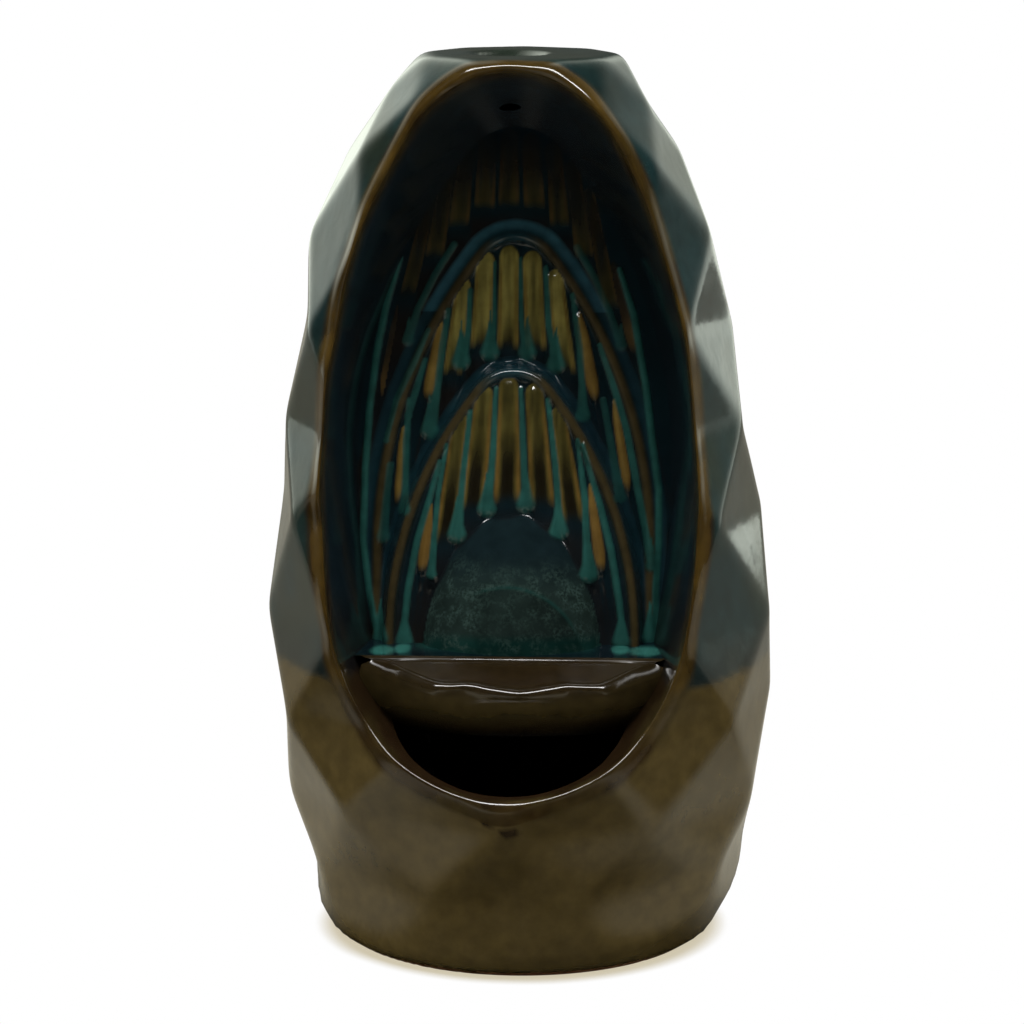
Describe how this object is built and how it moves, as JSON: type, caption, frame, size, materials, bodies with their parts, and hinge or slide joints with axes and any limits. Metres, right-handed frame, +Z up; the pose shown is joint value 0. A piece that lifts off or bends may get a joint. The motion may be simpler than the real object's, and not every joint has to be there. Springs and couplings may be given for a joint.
{
  "type": "backflow incense burner",
  "caption": "Egg-shaped faceted ceramic burner with an open front, stepped ribbed arches inside and a wavy catch lip.",
  "frame": {"origin": "middle of the bounding box's footprint, on the table under the foot", "axes": "+Z up; the opening faces -Y; +X to the viewer's right"},
  "size_m": [0.1206, 0.1124, 0.2114],
  "materials": {
    "glaze": "gloss"
  },
  "bodies": {
    "root": {"burner_body": "glaze"}
  },
  "joints": []
}
